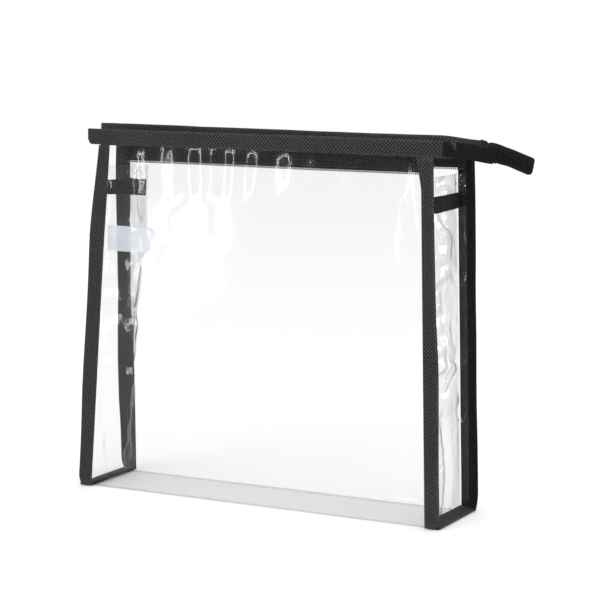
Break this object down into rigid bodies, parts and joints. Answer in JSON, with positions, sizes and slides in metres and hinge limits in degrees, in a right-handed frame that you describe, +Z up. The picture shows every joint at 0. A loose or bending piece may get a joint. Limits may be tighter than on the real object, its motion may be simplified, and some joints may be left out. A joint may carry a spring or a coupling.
{
  "type": "makeup bag",
  "caption": "Clear film makeup bag with a box base, black fabric bindings, a recessed zip hanging open inside the mouth, and a zip tail past one side.",
  "frame": {"origin": "centre of the base between the side seams, on the surface the bag stands on", "axes": "+X to the right, where the zip tail sticks out; -Y is the front; +Z up"},
  "size_m": [0.3179, 0.0584, 0.2425],
  "materials": {
    "clear_film": "clear, glossy and slightly crinkled",
    "binding_fabric": "black pressed fabric with a fine diagonal pit pattern",
    "zip_tape": "black woven tape",
    "zip_coil": "black coil teeth",
    "slider_paint": "black enamel",
    "zip_metal": "dull",
    "label_film": "translucent, blank"
  },
  "bodies": {
    "root": {"body_sheet": "clear_film", "left_gusset": "clear_film", "right_gusset": "clear_film", "left_binding": "binding_fabric", "right_binding": "binding_fabric", "left_stay_strap": "binding_fabric", "right_stay_strap": "binding_fabric", "care_label": "label_film", "zip_end_tab": "zip_tape", "zip_end_stop": "zip_metal"},
    "front_rim": {"front_rim_binding": "binding_fabric"},
    "rear_rim": {"rear_rim_binding": "binding_fabric"},
    "front_tape": {"front_zip_tape": "zip_tape", "front_coil": "zip_coil"},
    "rear_tape": {"rear_zip_tape": "zip_tape", "rear_coil": "zip_coil"},
    "front_bridge": {"front_bridge_binding": "binding_fabric", "front_bridge_tape": "zip_tape"},
    "rear_bridge": {"rear_bridge_binding": "binding_fabric", "rear_bridge_tape": "zip_tape"},
    "tail": {"tail_binding": "binding_fabric", "tail_chain": "zip_tape"},
    "slider": {"slider_body": "slider_paint", "slider_crown": "slider_paint"},
    "puller": {"puller": "slider_paint"}
  },
  "joints": [
    {"name": "slider_travel", "type": "slide", "parent": "root", "child": "slider", "axis": [1, 0, 0], "range_m": [-0.2483, 0]},
    {"name": "puller_swing", "type": "hinge", "parent": "slider", "child": "puller", "pos_m": [0.14597, 0, 0.2354], "axis": [0, 1, 0], "range_deg": [0, 100]},
    {"name": "front_rim_close", "type": "hinge", "parent": "root", "child": "front_rim", "pos_m": [-0.1165, -0.0131, 0.232], "axis": [0, 0, 1], "range_deg": [0, 3.37]},
    {"name": "rear_rim_close", "type": "hinge", "parent": "root", "child": "rear_rim", "pos_m": [-0.1165, 0.0131, 0.232], "axis": [0, 0, 1], "range_deg": [-3.37, 0]},
    {"name": "front_tape_lift", "type": "hinge", "parent": "front_rim", "child": "front_tape", "pos_m": [-0.11639, -0.0112, 0.2317], "axis": [0.9983, -0.0587, 0], "range_deg": [0, 90.01]},
    {"name": "rear_tape_lift", "type": "hinge", "parent": "rear_rim", "child": "rear_tape", "pos_m": [-0.11639, 0.0112, 0.2317], "axis": [0.9983, 0.0587, 0], "range_deg": [-90.01, 0]},
    {"name": "front_bridge_fold", "type": "hinge", "parent": "front_rim", "child": "front_bridge", "pos_m": [0.137, -0.028, 0.232], "axis": [0, 0, 1], "range_deg": [-36.9, 0]},
    {"name": "rear_bridge_fold", "type": "hinge", "parent": "rear_rim", "child": "rear_bridge", "pos_m": [0.137, 0.028, 0.232], "axis": [0, 0, 1], "range_deg": [0, 36.9]},
    {"name": "tail_shift", "type": "slide", "parent": "root", "child": "tail", "axis": [1, 0, 0], "range_m": [0, 0.0111]}
  ],
  "couplings": [
    {"joint": "front_rim_close", "follows": "slider_travel", "rad_per_m": -0.23646},
    {"joint": "rear_rim_close", "follows": "slider_travel", "rad_per_m": 0.23646},
    {"joint": "front_tape_lift", "follows": "slider_travel", "rad_per_m": -6.3262},
    {"joint": "rear_tape_lift", "follows": "slider_travel", "rad_per_m": 6.3262},
    {"joint": "front_bridge_fold", "follows": "slider_travel", "rad_per_m": 2.5888},
    {"joint": "rear_bridge_fold", "follows": "slider_travel", "rad_per_m": -2.5888},
    {"joint": "tail_shift", "follows": "slider_travel", "ratio": -0.04426}
  ]
}
